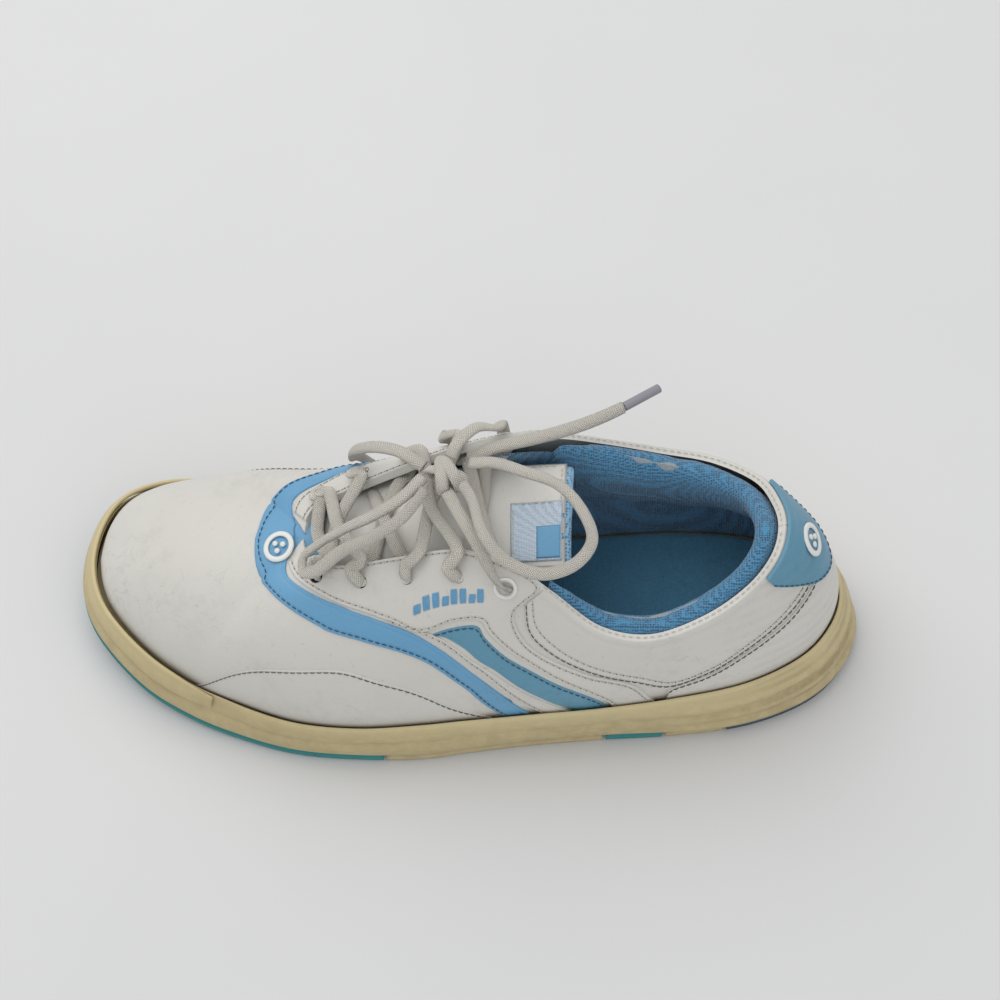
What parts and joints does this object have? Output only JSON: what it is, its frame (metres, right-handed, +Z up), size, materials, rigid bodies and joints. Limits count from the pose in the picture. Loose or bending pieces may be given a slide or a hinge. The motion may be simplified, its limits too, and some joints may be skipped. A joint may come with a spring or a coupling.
{
  "type": "bowling shoe",
  "caption": "Left ten-pin bowling shoe: laced leather upper with blue trim, padded collar and tongue, cream sidewall, slide pad and heel.",
  "frame": {"origin": "on the floor, under the middle of the shoe", "axes": "+X points from toe to heel, +Y to the medial (inner) side, +Z up; the toe is at -X"},
  "size_m": [0.2676, 0.1013, 0.0996],
  "materials": {
    "leather": "smooth corrected-grain off-white leather, lightly scuffed",
    "trim": "sky-blue coated leather",
    "tab": "dusty teal-blue coated leather",
    "mesh": "blue spacer-knit lining",
    "foam": "open-cell padding foam",
    "sock": "dark blue cloth-topped foam footbed",
    "fibre": "pressed fibre board",
    "cream": "cream sidewall rubber, satin",
    "teal": "teal outsole rubber",
    "slate": "blue-grey outsole rubber",
    "slide": "brushed microfibre slide pad",
    "worn": "worn pale heel rubber",
    "lace": "woven white lace",
    "aglet": "clear grey film tip",
    "white": "white moulded or sewn badge",
    "plastic": "white moulded plastic, satin",
    "thread": "pale blue satin-stitch thread"
  },
  "bodies": {
    "shoe": {"midsole_core": "cream", "midsole_sidewall": "cream", "toe_bumper": "cream", "insole_board": "fibre", "sock_liner": "sock", "slide_pad": "slide", "outsole_forefoot_rim": "teal", "outsole_waist": "slate", "outsole_heel_band": "slate", "outsole_heel_pad": "worn", "outsole_rear_strip_lateral": "cream", "outsole_rear_strip_medial": "cream", "outsole_lug_lateral": "teal", "outsole_lug_medial": "teal", "outsole_front_strip_lateral": "cream", "outsole_front_strip_medial": "cream", "vamp": "leather", "vamp_lining": "mesh", "toe_puff": "fibre", "trim_band": "trim", "front_emblem": "white", "quarter_lateral": "leather", "quarter_medial": "leather", "eyestay_lateral": "leather", "eyestay_medial": "leather", "side_panel_lateral": "leather", "side_panel_medial": "leather", "side_stripe_lateral": "tab", "side_stripe_medial": "tab", "collar_panel_lateral": "leather", "collar_panel_medial": "leather", "side_motif_lateral": "thread", "side_motif_medial": "thread", "eyelet_ring_lateral": "plastic", "eyelet_ring_medial": "plastic", "heel_counter_panel": "leather", "heel_tab": "tab", "heel_emblem": "white", "heel_stiffener": "fibre", "collar_lining": "mesh", "collar_foam": "foam", "lace_crossings": "lace", "lace_knot": "lace", "lace_loop_front": "lace", "lace_loop_rear": "lace", "lace_end_rear": "lace", "lace_end_side": "lace", "aglet_rear": "aglet", "aglet_side": "aglet"},
    "tongue": {"tongue_outer": "leather", "tongue_foam": "foam", "tongue_lining": "mesh", "tongue_label": "white"}
  },
  "joints": [
    {"name": "tongue_hinge", "type": "hinge", "parent": "shoe", "child": "tongue", "pos_m": [-0.04469, 0.00178, 0.053], "axis": [0, 1, 0], "range_deg": [0, 6]}
  ]
}
